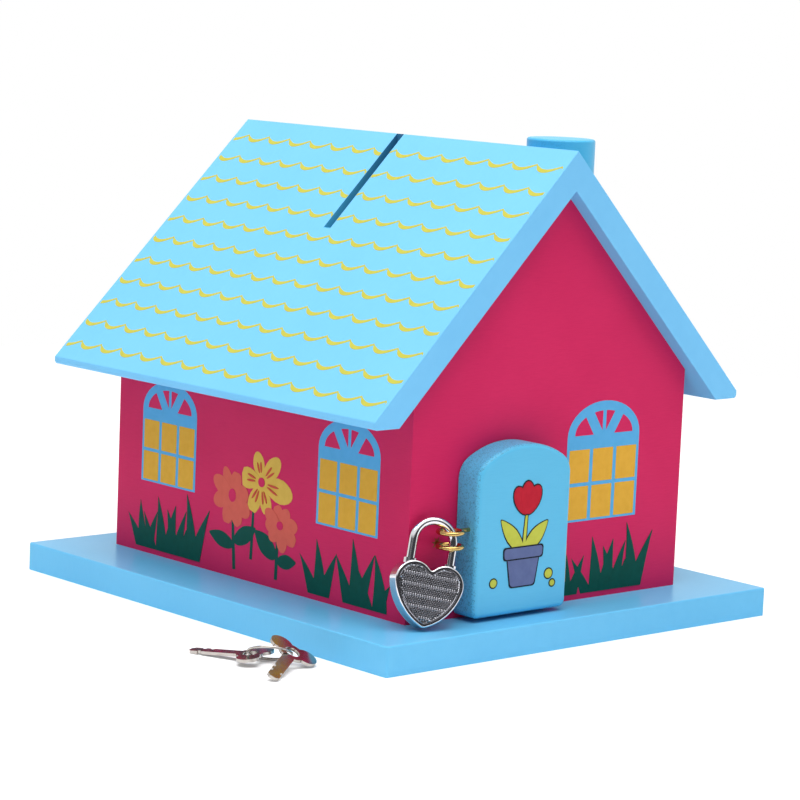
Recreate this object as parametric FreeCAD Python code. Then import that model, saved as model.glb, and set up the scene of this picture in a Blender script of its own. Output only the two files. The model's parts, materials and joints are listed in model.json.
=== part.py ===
import FreeCAD, Part
import math
import os

V = FreeCAD.Vector
UP = V(0, 0, 1)
SAME = 0.001

# A house-shaped wooden money box. Millimetres, Z up, front gable towards -Y.
# The origin is the middle of the baseboard's underside.

# Baseboard
base_width = 160.0
base_length = 177.0
base_thickness = 9.0
base_corner_radius = 1.6
base_edge_radius = 0.9

# House shell
house_width = 114.0
house_length = 142.0
front_setback = 18.5
wall_thickness = 6.0
side_wall_height = 69.0

# Roof
roof_pitch_deg = 45.0
roof_thickness = 8.5
eave_drop = 9.7
eave_round = 2.4
front_overhang = 5.0
rear_overhang = 10.0
roof_edge_radius = 0.7

# Coin slot, cut from the ridge down the left slope
slot_length = 41.0
slot_width = 3.2
slot_from_front = 79.6

# Chimney on the right slope
chimney_diameter = 21.0
chimney_from_ridge = 16.0
chimney_from_front = 23.7
chimney_above_ridge = 2.2
chimney_edge_radius = 0.8
chimney_screw_radius = 1.5
chimney_screw_grip = 9.0

# Door block and the doorway behind it
door_width = 38.0
door_height = 51.0
door_thickness = 9.0
door_arch_rise = 10.2
door_shoulder_radius = 7.0
door_foot_radius = 2.2
door_edge_radius = 1.5
door_floor_gap = 1.2
door_wall_gap = 0.4
door_hinge_edge = -0.5
doorway_side_lap = 5.0
doorway_top_lap = 5.0
doorway_sill = 4.0
doorway_corner_radius = 4.0

# Butt hinges between the wall and the door's hinge edge
hinge_height = 12.0
hinge_leaf_width = 6.0
hinge_leaf_thickness = 0.8
hinge_barrel_radius = 1.5
hinge_pin_radius = 0.6
hinge_pin_play = 0.05
hinge_knuckle_gap = 0.2
hinge_clearance = 0.3
hinge_middle_knuckle = 4.4
lower_hinge_height = 7.0
hinge_spacing = 21.0
hinge_screw_spacing = 7.0
hinge_screw_head_radius = 1.2
hinge_screw_shank_radius = 0.6
hinge_screw_head_depth = 0.6
hinge_screw_length = 5.0

# Brass screw eyes that the padlock closes
eye_ring_radius = 3.65
eye_wire_radius = 0.65
eye_screw_depth = 5.0
eye_axis_from_door = 7.3
eye_axis_from_wall = 5.7
wall_eye_height = 23.3
eye_spacing = 4.3

# Heart padlock
heart_lobe_radius = 5.8
heart_lobe_offset = 4.9
heart_lobe_drop = 12.0
heart_tip_drop = 25.3
heart_side_angle_deg = -12.0
heart_notch_radius = 1.0
heart_tip_radius = 2.0
lock_depth = 5.6
lock_wall = 1.0
lock_back = 1.0
lock_rim_radius = 0.5
face_plate_thickness = 0.8
face_plate_recess = 0.35
keyhole_radius = 0.9
keyhole_slot_width = 1.0
keyhole_slot_length = 3.4
keyhole_drop = 14.5

# Shackle
shackle_wire_radius = 1.25
shackle_leg_spacing = 12.5
shackle_play = 0.08
shackle_collar_wall = 0.6
shackle_collar_rise = 0.6
long_leg = 16.0
short_leg = 11.0
catch_notch_drop = 9.0
catch_notch_height = 1.8
catch_notch_depth = 0.7

# Spring catch inside the padlock
catch_strip_thickness = 0.4
catch_strip_width = 2.2
catch_arm_spread = 3.6
catch_foot_drop = 18.5
catch_nose_reach = 0.4

# How the padlock hangs
lock_turn_deg = 20.0
lock_lean_deg = 12.0
lock_tilt_deg = 12.5
lock_hang_angle_deg = 18.0
lock_hang_out = 0.8
lock_hang_aside = -0.4

# Keys and their ring on the floor beside the baseboard
key_thickness = 0.9
key_tip_reach = 20.0
key_blade_width = 3.6
key_tip_length = 3.2
key_notch_radius = 0.7
key_notch_step = 2.8
key_lobe_radius = 3.4
key_lobe_spread = 4.0
key_lobe_rise = 1.8
key_hole_radius = 2.3
key_ring_radius = 6.4
key_ring_wire_radius = 0.4
key_ring_from_base = 17.9
key_ring_behind_front = 30.2
key_ring_lift = 3.5
key_ring_heading_deg = 226.5
key_ring_tilt_deg = 28.6
key_1_ring_angle_deg = -114.7
key_1_heading_deg = 110.0
key_1_roll_deg = -3.6
key_2_ring_angle_deg = 80.7
key_2_heading_deg = 214.9
key_2_roll_deg = -27.6

# Screws and brads that hold the boards
base_screw_radius = 1.6
base_screw_head_radius = 3.2
base_screw_head_depth = 1.8
base_screw_grip = 14.0
base_screw_inset = 28.0
brad_radius = 0.6
brad_head_radius = 0.9
brad_head_depth = 0.6
brad_grip = 12.0
wall_brad_inset = 14.0
roof_brad_from_ridge = 20.0
roof_brad_from_wall = 12.0

# Places that follow from the sizes
base_top = base_thickness
house_half = house_width / 2
house_front = front_setback - base_length / 2
house_rear = house_front + house_length
pitch = math.radians(roof_pitch_deg)
slope = math.tan(pitch)
wall_top = base_top + side_wall_height
under_ridge = wall_top + house_half * slope
ridge = under_ridge + roof_thickness / math.cos(pitch)
eave_bottom = wall_top - eave_drop
roof_front = house_front - front_overhang
roof_rear = house_rear + rear_overhang
door_right = door_hinge_edge
door_left = door_right - door_width
door_bottom = base_top + door_floor_gap
door_back = house_front - door_wall_gap
door_front = door_back - door_thickness
hinge_x = door_right + hinge_barrel_radius + hinge_clearance
hinge_y = house_front - hinge_barrel_radius - hinge_clearance
eye_x = door_left - eye_axis_from_door
eye_y = house_front - eye_axis_from_wall
wall_eye_z = base_top + wall_eye_height
door_eye_z = wall_eye_z + eye_spacing
leg_offset = shackle_leg_spacing / 2


def polygon(points):
    return Part.Face(Part.makePolygon(points + points[:1]))


def prism_along_y(outline, y_start, y_end):
    points = [V(x, y_start, z) for x, z in outline]
    return polygon(points).extrude(V(0, y_end - y_start, 0))


def rod(radius, start, end):
    return Part.makeCylinder(radius, (end - start).Length, start, end - start)


def turned_screw(head_radius, head_depth, shank_radius, length, place, direction):
    """A countersunk screw whose flat head lies in the surface at place."""
    outline = [V(0, 0, 0), V(head_radius, 0, 0), V(shank_radius, 0, head_depth),
               V(shank_radius, 0, length - shank_radius), V(0, 0, length)]
    screw = polygon(outline).revolve(V(0, 0, 0), UP, 360)
    screw.Placement = FreeCAD.Placement(place, FreeCAD.Rotation(UP, direction))
    return screw


def edges_in_plane(shape, axis, value, skip=None):
    """Edges whose every corner has the given coordinate along one axis."""
    found = []
    for edge in shape.Edges:
        if all(abs(getattr(v.Point, axis) - value) < SAME for v in edge.Vertexes):
            if skip is None or not skip(edge):
                found.append(edge)
    return found


def upright_edges(shape):
    """Edges that run along Z."""
    found = []
    for edge in shape.Edges:
        ends = [v.Point for v in edge.Vertexes]
        if len(ends) == 2 and (ends[1] - ends[0]).cross(UP).Length < SAME:
            found.append(edge)
    return found


def placed(shape, origin, x_axis, y_axis, z_axis):
    """Stand a shape drawn about the origin on the given axes."""
    matrix = FreeCAD.Matrix(x_axis.x, y_axis.x, z_axis.x, origin.x,
                            x_axis.y, y_axis.y, z_axis.y, origin.y,
                            x_axis.z, y_axis.z, z_axis.z, origin.z,
                            0, 0, 0, 1)
    return shape.transformed(matrix)


def make_baseboard():
    board = Part.makeBox(base_width, base_length, base_thickness,
                         V(-base_width / 2, -base_length / 2, 0))
    board = board.makeFillet(base_corner_radius, upright_edges(board))
    return board.makeFillet(base_edge_radius, edges_in_plane(board, "z", base_top))


def make_gable(y_start, y_end):
    outline = [(-house_half, base_top), (house_half, base_top), (house_half, wall_top),
               (0, under_ridge), (-house_half, wall_top)]
    return prism_along_y(outline, y_start, y_end)


def make_doorway():
    """The opening in the front gable, with rounded upper corners."""
    width = door_width - 2 * doorway_side_lap
    bottom = base_top + doorway_sill
    height = door_bottom + door_height - doorway_top_lap - bottom
    hole = Part.makeBox(width, 3 * wall_thickness, height,
                        V(door_left + doorway_side_lap, house_front - wall_thickness, bottom))
    top = bottom + height
    corners = []
    for edge in hole.Edges:
        ends = [v.Point for v in edge.Vertexes]
        if all(abs(p.z - top) < SAME for p in ends) and abs(ends[0].x - ends[1].x) < SAME:
            corners.append(edge)
    return hole.makeFillet(doorway_corner_radius, corners)


def make_side_wall(side):
    inner = house_half - wall_thickness
    outline = [(side * house_half, base_top), (side * inner, base_top),
               (side * inner, wall_top + wall_thickness * slope), (side * house_half, wall_top)]
    return prism_along_y(outline, house_front + wall_thickness, house_rear - wall_thickness)


def make_roof_panel(side):
    outer = (ridge - eave_bottom) / slope
    inner = (under_ridge - eave_bottom) / slope
    outline = [(0, ridge), (side * outer, eave_bottom), (side * inner, eave_bottom), (0, under_ridge)]
    panel = prism_along_y(outline, roof_front, roof_rear)
    eave = [e for e in panel.Edges
            if all(abs(v.X - side * outer) < SAME for v in e.Vertexes)]
    panel = panel.makeFillet(eave_round, eave)

    def on_ridge(edge):
        return all(abs(v.X) < SAME for v in edge.Vertexes)

    ends = edges_in_plane(panel, "y", roof_front, on_ridge)
    ends += edges_in_plane(panel, "y", roof_rear, on_ridge)
    return panel.makeFillet(roof_edge_radius, ends)


def make_coin_slot():
    """A slot square to the left slope, open at the ridge joint."""
    reach = slot_length * math.cos(pitch)
    drop = slot_length * math.sin(pitch)
    through = 2 * roof_thickness * math.sin(pitch)
    rise = 2 * roof_thickness * math.cos(pitch)
    outline = [(0, ridge + rise), (-reach - through, ridge - drop + rise),
               (-reach + through, ridge - drop - rise), (0, under_ridge - rise)]
    middle = roof_front + slot_from_front
    return prism_along_y(outline, middle - slot_width / 2, middle + slot_width / 2)


def make_chimney():
    y = roof_front + chimney_from_front
    radius = chimney_diameter / 2
    foot = ridge - (chimney_from_ridge + radius) * slope - radius
    top = ridge + chimney_above_ridge
    stack = Part.makeCylinder(radius, top - foot, V(chimney_from_ridge, y, foot))
    near = chimney_from_ridge - chimney_diameter
    far = chimney_from_ridge + chimney_diameter
    below = [(near, ridge - near * slope), (far, ridge - far * slope),
             (far, foot - chimney_diameter), (near, foot - chimney_diameter)]
    stack = stack.cut(prism_along_y(below, y - chimney_diameter, y + chimney_diameter))
    return stack.makeFillet(chimney_edge_radius, edges_in_plane(stack, "z", top))


def make_chimney_screw():
    """Driven from under the roof, square to the slope, into the chimney's foot."""
    y = roof_front + chimney_from_front
    normal = V(math.sin(pitch), 0, math.cos(pitch))
    seat = V(chimney_from_ridge, y, ridge - chimney_from_ridge * slope) - normal * roof_thickness
    return turned_screw(base_screw_head_radius, base_screw_head_depth, chimney_screw_radius,
                        roof_thickness + chimney_screw_grip, seat, normal)


def make_door():
    """A thick board with a basket arch, its front edges well eased."""
    half = door_width / 2
    middle = door_left + half
    spring_line = door_bottom + door_height - door_arch_rise
    inset = half - door_shoulder_radius
    crown_radius = ((inset ** 2 + door_arch_rise ** 2 - door_shoulder_radius ** 2)
                    / (2 * (door_arch_rise - door_shoulder_radius)))
    crown_centre = spring_line + door_arch_rise - crown_radius
    meet = math.atan2(spring_line - crown_centre, inset)
    meet_x = crown_radius * math.cos(meet)
    meet_z = crown_centre + crown_radius * math.sin(meet)
    bend = meet / 2
    bend_x = inset + door_shoulder_radius * math.cos(bend)
    bend_z = spring_line + door_shoulder_radius * math.sin(bend)

    def at(x, z):
        return V(middle + x, door_back, z)

    edges = [Part.LineSegment(at(-half, door_bottom), at(half, door_bottom)),
             Part.LineSegment(at(half, door_bottom), at(half, spring_line)),
             Part.Arc(at(half, spring_line), at(bend_x, bend_z), at(meet_x, meet_z)),
             Part.Arc(at(meet_x, meet_z), at(0, door_bottom + door_height), at(-meet_x, meet_z)),
             Part.Arc(at(-meet_x, meet_z), at(-bend_x, bend_z), at(-half, spring_line)),
             Part.LineSegment(at(-half, spring_line), at(-half, door_bottom))]
    outline = Part.Wire([e.toShape() for e in edges])
    door = Part.Face(outline).extrude(V(0, -door_thickness, 0))
    feet = []
    for edge in door.Edges:
        ends = [v.Point for v in edge.Vertexes]
        if all(abs(p.z - door_bottom) < SAME for p in ends) and abs(ends[0].x - ends[1].x) < SAME:
            feet.append(edge)
    door = door.makeFillet(door_foot_radius, feet)
    return door.makeFillet(door_edge_radius, edges_in_plane(door, "y", door_front))


def make_hinge_leaf(bottom, outer_knuckles):
    """One leaf drawn for the wall, or for the door where outer_knuckles is false."""
    top = bottom + hinge_height
    middle = bottom + hinge_height / 2
    low = middle - hinge_middle_knuckle / 2
    high = middle + hinge_middle_knuckle / 2
    barrel = Part.makeCylinder(hinge_barrel_radius, hinge_height, V(hinge_x, hinge_y, bottom))
    room = hinge_barrel_radius + hinge_knuckle_gap
    if outer_knuckles:
        plate = Part.makeBox(hinge_leaf_width, hinge_leaf_thickness, hinge_height,
                             V(hinge_x, house_front - hinge_leaf_thickness, bottom))
        away = Part.makeCylinder(room, high - low + 2 * hinge_knuckle_gap,
                                 V(hinge_x, hinge_y, low - hinge_knuckle_gap))
        bore = hinge_pin_radius
        leaf = plate.fuse(barrel).cut(away)
    else:
        plate = Part.makeBox(hinge_leaf_thickness, hinge_leaf_width, hinge_height,
                             V(door_right, hinge_y - hinge_leaf_width, bottom))
        below = Part.makeCylinder(room, low - bottom, V(hinge_x, hinge_y, bottom))
        above = Part.makeCylinder(room, top - high, V(hinge_x, hinge_y, high))
        bore = hinge_pin_radius + hinge_pin_play
        leaf = plate.fuse(barrel).cut(below).cut(above)
    hole = Part.makeCylinder(bore, hinge_height, V(hinge_x, hinge_y, bottom))
    return leaf.cut(hole).removeSplitter()


def make_hinge_pin(bottom):
    return Part.makeCylinder(hinge_pin_radius, hinge_height, V(hinge_x, hinge_y, bottom))


def make_hinge_screws(bottoms, on_wall):
    screws = []
    for bottom in bottoms:
        for step in (-1, 1):
            z = bottom + hinge_height / 2 + step * hinge_screw_spacing / 2
            reach = (hinge_barrel_radius + hinge_leaf_width) / 2
            if on_wall:
                place = V(hinge_x + reach, house_front - hinge_leaf_thickness, z)
                direction = V(0, 1, 0)
            else:
                place = V(door_right + hinge_leaf_thickness, hinge_y - reach, z)
                direction = V(-1, 0, 0)
            screws.append(turned_screw(hinge_screw_head_radius, hinge_screw_head_depth,
                                       hinge_screw_shank_radius, hinge_screw_length, place, direction))
    return screws


def make_screw_eye(z, surface, direction):
    """A wire ring lying flat, with its screw shank running into the wood."""
    centre = V(eye_x, eye_y, z)
    ring = Part.makeTorus(eye_ring_radius, eye_wire_radius, centre, UP)
    distance = (surface - centre).dot(direction)
    shank = rod(eye_wire_radius, centre + direction * eye_ring_radius,
                centre + direction * (distance + eye_screw_depth))
    return ring.fuse(shank).removeSplitter()


def heart_block(shrink, start, height):
    """A prism of the padlock's outline, drawn in by a distance. Every arc keeps its centre."""
    turn = math.radians(heart_side_angle_deg)
    outward = V(math.cos(turn), math.sin(turn), 0)
    lobe_centre = V(heart_lobe_offset, -heart_lobe_drop, 0)
    span = V(0, -heart_tip_drop, 0) - lobe_centre
    extra = ((span.dot(span) - heart_lobe_radius ** 2)
             / (2 * (heart_lobe_radius - span.dot(outward))))
    side_radius = heart_lobe_radius + extra
    side_centre = lobe_centre - outward * extra
    notch_reach = heart_lobe_radius + heart_notch_radius
    notch_rise = math.sqrt(notch_reach ** 2 - heart_lobe_offset ** 2)
    notch_centre = lobe_centre + V(-heart_lobe_offset, notch_rise, 0)
    tip_reach = side_radius - heart_tip_radius
    tip_fall = math.sqrt(tip_reach ** 2 - side_centre.x ** 2)
    tip_centre = V(0, side_centre.y - tip_fall, 0)

    lobe = heart_lobe_radius - shrink
    side = side_radius - shrink
    to_notch = (notch_centre - lobe_centre).normalize()
    to_tip = (tip_centre - side_centre).normalize()
    notch_end = lobe_centre + to_notch * lobe
    top = lobe_centre + V(0, lobe, 0)
    join = lobe_centre + outward * lobe
    flank = side_centre + (outward + to_tip).normalize() * side
    tip_end = side_centre + to_tip * side
    notch_low = notch_centre - V(0, heart_notch_radius + shrink, 0)
    tip_low = tip_centre - V(0, heart_tip_radius - shrink, 0)

    def mirrored(point):
        return V(-point.x, point.y, 0)

    edges = [Part.Arc(notch_end, top, join), Part.Arc(join, flank, tip_end),
             Part.Arc(tip_end, tip_low, mirrored(tip_end)),
             Part.Arc(mirrored(tip_end), mirrored(flank), mirrored(join)),
             Part.Arc(mirrored(join), mirrored(top), mirrored(notch_end)),
             Part.Arc(mirrored(notch_end), notch_low, notch_end)]
    block = Part.Face(Part.Wire([e.toShape() for e in edges])).extrude(V(0, 0, height))
    block.translate(V(0, 0, start))
    return block


def make_lock_case():
    """A heart-shaped cup, open at the front, with two shackle holes and a keyhole."""
    back = -lock_depth / 2
    case = heart_block(0, back, lock_depth)
    rims = edges_in_plane(case, "z", lock_depth / 2) + edges_in_plane(case, "z", back)
    case = case.makeFillet(lock_rim_radius, rims)
    collar_radius = shackle_wire_radius + shackle_play + shackle_collar_wall
    lobe_edge = math.sqrt(heart_lobe_radius ** 2 - (leg_offset - heart_lobe_offset) ** 2) - heart_lobe_drop
    for side in (-1, 1):
        case = case.fuse(rod(collar_radius, V(side * leg_offset, -heart_lobe_drop, 0),
                             V(side * leg_offset, lobe_edge + shackle_collar_rise, 0)))
    case = case.cut(heart_block(lock_wall, back + lock_back, lock_depth))
    for side in (-1, 1):
        hole = rod(shackle_wire_radius + shackle_play, V(side * leg_offset, 0, 0),
                   V(side * leg_offset, -heart_lobe_drop, 0))
        case = case.cut(hole)
    eye = rod(keyhole_radius, V(0, -keyhole_drop, back - lock_back),
              V(0, -keyhole_drop, back + 2 * lock_back))
    slit = Part.makeBox(keyhole_slot_width, keyhole_slot_length, 3 * lock_back,
                        V(-keyhole_slot_width / 2, -keyhole_drop - keyhole_slot_length, back - lock_back))
    return case.cut(eye.fuse(slit))


def make_face_plate():
    front = lock_depth / 2 - face_plate_recess
    return heart_block(lock_wall, front - face_plate_thickness, face_plate_thickness)


def make_shackle():
    """A bent wire bow with one long captive leg and one short leg, both notched."""
    bow = Part.makeTorus(leg_offset, shackle_wire_radius, V(0, 0, 0), UP)
    reach = leg_offset + 2 * shackle_wire_radius
    upper = Part.makeBox(2 * reach, reach, 4 * shackle_wire_radius, V(-reach, 0, -2 * shackle_wire_radius))
    bow = bow.common(upper)
    right = rod(shackle_wire_radius, V(leg_offset, 0, 0), V(leg_offset, -long_leg, 0))
    left = rod(shackle_wire_radius, V(-leg_offset, 0, 0), V(-leg_offset, -short_leg, 0))
    shackle = bow.fuse([right, left]).removeSplitter()
    inner = leg_offset - shackle_wire_radius
    for side in (-1, 1):
        middle = side * (inner + catch_notch_depth - shackle_wire_radius)
        notch = Part.makeBox(2 * shackle_wire_radius, catch_notch_height, 4 * shackle_wire_radius,
                             V(middle - shackle_wire_radius, -catch_notch_drop - catch_notch_height,
                               -2 * shackle_wire_radius))
        shackle = shackle.cut(notch)
    return shackle


def make_catch_spring():
    """A bent flat strip whose two noses sit in the shackle's notches."""
    nose_x = leg_offset - shackle_wire_radius + catch_nose_reach
    nose_y = -catch_notch_drop - catch_notch_height / 2
    foot_y = -catch_foot_drop
    half = catch_strip_thickness / 2
    arm = [(half, foot_y), (catch_arm_spread, nose_y - catch_notch_height),
           (catch_arm_spread, nose_y), (nose_x, nose_y)]
    inner = [(half, foot_y + 2 * catch_strip_thickness),
             (catch_arm_spread - catch_strip_thickness, nose_y - catch_notch_height + half),
             (catch_arm_spread - catch_strip_thickness, nose_y + catch_strip_thickness),
             (nose_x, nose_y + catch_strip_thickness)]
    right = arm + inner[::-1]
    back = -lock_depth / 2 + lock_back
    strips = []
    for side in (-1, 1):
        points = [V(side * x, y, back) for x, y in right]
        strips.append(polygon(points).extrude(V(0, 0, catch_strip_width)))
    bridge = Part.makeBox(2 * half, 2 * catch_strip_thickness, catch_strip_width, V(-half, foot_y, back))
    return strips[0].fuse([strips[1], bridge]).removeSplitter()


def lock_axes():
    """The padlock's own axes and origin: X across, Y up its legs, Z out of its face."""
    turn = math.radians(lock_turn_deg)
    lean = math.radians(lock_lean_deg)
    tilt = math.radians(lock_tilt_deg)
    face = V(-math.sin(turn) * math.cos(lean), -math.cos(turn) * math.cos(lean), math.sin(lean))
    level = V(math.cos(turn), -math.sin(turn), 0)
    rise = face.cross(level)
    across = level * math.cos(tilt) - rise * math.sin(tilt)
    along = level * math.sin(tilt) + rise * math.cos(tilt)
    hang = math.radians(lock_hang_angle_deg)
    held = V(eye_x - lock_hang_aside, eye_y - lock_hang_out, wall_eye_z + eye_spacing / 2)
    origin = held - across * (leg_offset * math.cos(hang)) - along * (leg_offset * math.sin(hang))
    return origin, across, along, face


def make_key():
    """A flat key with a two-lobed bow, drawn with its hole at the origin and its blade along -Y."""
    half = key_blade_width / 2
    neck = key_tip_reach - key_tip_length
    rise = V(0, 0, key_thickness)
    low = V(0, 0, -key_thickness / 2)
    blade_outline = [V(-half, 0, 0), V(-half, -neck, 0), V(-half, -key_tip_reach + half / 2, 0),
                     V(-half / 2, -key_tip_reach, 0), V(half / 2, -key_tip_reach, 0),
                     V(half, -key_tip_reach + half / 2, 0), V(half, -neck, 0), V(half, 0, 0)]
    key = polygon(blade_outline).extrude(rise)
    lobes = [Part.makeCylinder(key_lobe_radius, key_thickness, V(s * key_lobe_spread, key_lobe_rise, 0))
             for s in (-1, 1)]
    middle = Part.makeCylinder(key_lobe_spread, key_thickness, V(0, 0, 0))
    key = key.fuse(lobes + [middle])
    notches = [(-half, -neck + key_notch_radius), (half, -neck + key_notch_radius),
               (-half, -neck + key_notch_radius + key_notch_step)]
    for x, y in notches:
        key = key.cut(Part.makeCylinder(key_notch_radius, key_thickness, V(x, y, 0)))
    key = key.cut(Part.makeCylinder(key_hole_radius, key_thickness, V(0, 0, 0))).removeSplitter()
    key.translate(low)
    return key


def ring_axes():
    heading = math.radians(key_ring_heading_deg)
    tilt = math.radians(key_ring_tilt_deg)
    raised = V(math.cos(heading) * math.cos(tilt), math.sin(heading) * math.cos(tilt), math.sin(tilt))
    level = V(-math.sin(heading), math.cos(heading), 0)
    centre = V(-base_width / 2 - key_ring_from_base, -base_length / 2 + key_ring_behind_front, key_ring_lift)
    return centre, raised, level


def make_key_ring():
    centre, raised, level = ring_axes()
    return Part.makeTorus(key_ring_radius, key_ring_wire_radius, centre, raised.cross(level))


def place_key(key, ring_angle_deg, heading_deg, roll_deg):
    """Thread a key on the ring, with its blade along a heading and its tip down on the floor."""
    centre, raised, level = ring_axes()
    angle = math.radians(ring_angle_deg)
    hole = centre + (raised * math.cos(angle) + level * math.sin(angle)) * key_ring_radius
    heading = math.radians(heading_deg)
    roll = math.radians(roll_deg)
    half = key_blade_width / 2
    edge_drop = half * abs(math.sin(roll)) + key_thickness / 2 * math.cos(roll)
    drop = math.asin((hole.z - edge_drop) / key_tip_reach)
    blade = V(math.cos(heading) * math.cos(drop), math.sin(heading) * math.cos(drop), -math.sin(drop))
    flat = V(-math.sin(heading), math.cos(heading), 0)
    normal = blade.cross(flat)
    across = flat * math.cos(roll) + normal * math.sin(roll)
    return placed(key, hole, across, blade * -1, across.cross(blade * -1))


def make_base_screws():
    """Driven up through the baseboard into the lower edges of the four walls."""
    middle = wall_thickness / 2
    side_x = house_half - middle
    mid_y = (house_front + house_rear) / 2
    span = house_length / 2 - base_screw_inset
    places = [V(sx * side_x, mid_y + sy * span, 0) for sx in (-1, 1) for sy in (-1, 1)]
    places += [V(house_half - base_screw_inset / 2, house_front + middle, 0),
               V(base_screw_inset / 2 - house_half, house_rear - middle, 0)]
    return [turned_screw(base_screw_head_radius, base_screw_head_depth, base_screw_radius,
                         base_thickness + base_screw_grip, place, UP) for place in places]


def make_wall_brads():
    """Through the gables into the ends of the side walls."""
    x = house_half - wall_thickness / 2
    brads = []
    for face, inward in ((house_front, V(0, 1, 0)), (house_rear, V(0, -1, 0))):
        for side in (-1, 1):
            for z in (base_top + 2 * wall_brad_inset, wall_top - wall_brad_inset):
                brads.append(turned_screw(brad_head_radius, brad_head_depth, brad_radius,
                                          wall_thickness + brad_grip, V(side * x, face, z), inward))
    return brads


def make_roof_brads():
    """Through the roof panels, square to the slope, into the sloping edges of the gables."""
    brads = []
    for side in (-1, 1):
        inward = V(-side * math.sin(pitch), 0, -math.cos(pitch))
        for y in (house_front + wall_thickness / 2, house_rear - wall_thickness / 2):
            for reach in (roof_brad_from_ridge, house_half - roof_brad_from_wall):
                place = V(side * reach, y, ridge - reach * slope)
                brads.append(turned_screw(brad_head_radius, brad_head_depth, brad_radius,
                                          roof_thickness + brad_grip, place, inward))
    return brads


def build():
    hinge_bottoms = [door_bottom + lower_hinge_height,
                     door_bottom + lower_hinge_height + hinge_spacing]
    base_screws = make_base_screws()
    wall_brads = make_wall_brads()
    roof_brads = make_roof_brads()
    chimney_screw = make_chimney_screw()
    wall_screws = make_hinge_screws(hinge_bottoms, True)
    door_screws = make_hinge_screws(hinge_bottoms, False)
    wall_eye = make_screw_eye(wall_eye_z, V(eye_x, house_front, wall_eye_z), V(0, 1, 0))
    door_eye = make_screw_eye(door_eye_z, V(door_left, eye_y, door_eye_z), V(1, 0, 0))
    board_pins = base_screws + wall_brads + roof_brads

    nodes = {}
    nodes["baseboard"] = make_baseboard().cut(base_screws)
    front = make_gable(house_front, house_front + wall_thickness).cut(make_doorway())
    nodes["front_gable_wall"] = front.cut(board_pins + wall_screws + [wall_eye])
    rear = make_gable(house_rear - wall_thickness, house_rear)
    nodes["rear_gable_wall"] = rear.cut(board_pins)
    nodes["left_wall"] = make_side_wall(-1).cut(base_screws + wall_brads)
    nodes["right_wall"] = make_side_wall(1).cut(base_screws + wall_brads)
    left_panel = make_roof_panel(-1).cut(make_coin_slot())
    nodes["roof_panel_left"] = left_panel.cut(roof_brads)
    nodes["roof_panel_right"] = make_roof_panel(1).cut(roof_brads + [chimney_screw])
    nodes["chimney"] = make_chimney().cut(chimney_screw)
    nodes["chimney_screw"] = chimney_screw

    nodes["door"] = make_door().cut(door_screws + [door_eye])
    nodes["door_eye"] = door_eye
    nodes["wall_eye"] = wall_eye
    for name, bottom in zip(("lower", "upper"), hinge_bottoms):
        nodes[name + "_hinge_wall_leaf"] = make_hinge_leaf(bottom, True).cut(wall_screws)
        nodes[name + "_hinge_door_leaf"] = make_hinge_leaf(bottom, False).cut(door_screws)
        nodes[name + "_hinge_pin"] = make_hinge_pin(bottom)
    nodes["hinge_wall_screws"] = Part.makeCompound(wall_screws)
    nodes["hinge_door_screws"] = Part.makeCompound(door_screws)

    axes = lock_axes()
    nodes["lock_case"] = placed(make_lock_case(), *axes)
    nodes["lock_face_plate"] = placed(make_face_plate(), *axes)
    nodes["lock_shackle"] = placed(make_shackle(), *axes)
    nodes["lock_catch_spring"] = placed(make_catch_spring(), *axes)

    nodes["base_screws"] = Part.makeCompound(base_screws)
    nodes["wall_brads"] = Part.makeCompound(wall_brads)
    nodes["roof_brads"] = Part.makeCompound(roof_brads)

    nodes["key_ring"] = make_key_ring()
    key = make_key()
    nodes["key_1"] = place_key(key, key_1_ring_angle_deg, key_1_heading_deg, key_1_roll_deg)
    nodes["key_2"] = place_key(key, key_2_ring_angle_deg, key_2_heading_deg, key_2_roll_deg)
    return nodes


os.makedirs("parts", exist_ok=True)
for name, shape in build().items():
    shape.exportStep("parts/" + name + ".step")
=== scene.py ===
import json
import math

import bmesh
import bpy
from mathutils import Matrix, Vector

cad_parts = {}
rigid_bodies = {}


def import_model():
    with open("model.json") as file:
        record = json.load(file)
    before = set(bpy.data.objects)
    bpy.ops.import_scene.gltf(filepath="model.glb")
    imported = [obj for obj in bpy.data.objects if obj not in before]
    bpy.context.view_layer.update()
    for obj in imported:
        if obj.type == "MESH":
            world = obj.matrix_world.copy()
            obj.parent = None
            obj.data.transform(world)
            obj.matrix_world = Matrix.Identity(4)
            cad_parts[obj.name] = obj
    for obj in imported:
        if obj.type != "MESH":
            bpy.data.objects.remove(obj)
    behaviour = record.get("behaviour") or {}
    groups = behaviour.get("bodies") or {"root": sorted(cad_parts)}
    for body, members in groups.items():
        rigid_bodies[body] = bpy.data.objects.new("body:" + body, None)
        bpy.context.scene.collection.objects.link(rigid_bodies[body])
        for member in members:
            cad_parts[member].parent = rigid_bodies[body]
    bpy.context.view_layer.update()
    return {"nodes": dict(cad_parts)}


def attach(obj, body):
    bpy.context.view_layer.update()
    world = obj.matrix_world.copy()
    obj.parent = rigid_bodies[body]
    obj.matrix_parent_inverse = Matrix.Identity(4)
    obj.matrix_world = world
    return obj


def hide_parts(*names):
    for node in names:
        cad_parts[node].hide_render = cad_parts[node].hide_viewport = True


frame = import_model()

nodes = frame["nodes"]
MM = 0.001

# Where the printed faces lie, in millimetres
WALL_SIDE = 57.0
WALL_FRONT = -70.0
WALL_REAR = 72.0
DOOR_FACE = -79.4
RIDGE = 147.02
ROOF_FRONT = -75.0
ROOF_REAR = 82.0
SLOPE = math.sqrt(0.5)

# The coin slot, from the ridge down the left slope
SLOT_LENGTH = 41.0
SLOT_WIDTH = 3.2
SLOT_PLACE = 4.6
# How far past the slot's foot and sides the painted shade inside it reaches
SLOT_SHADE_END = 0.2
SLOT_SHADE_SIDE = 0.05

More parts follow.
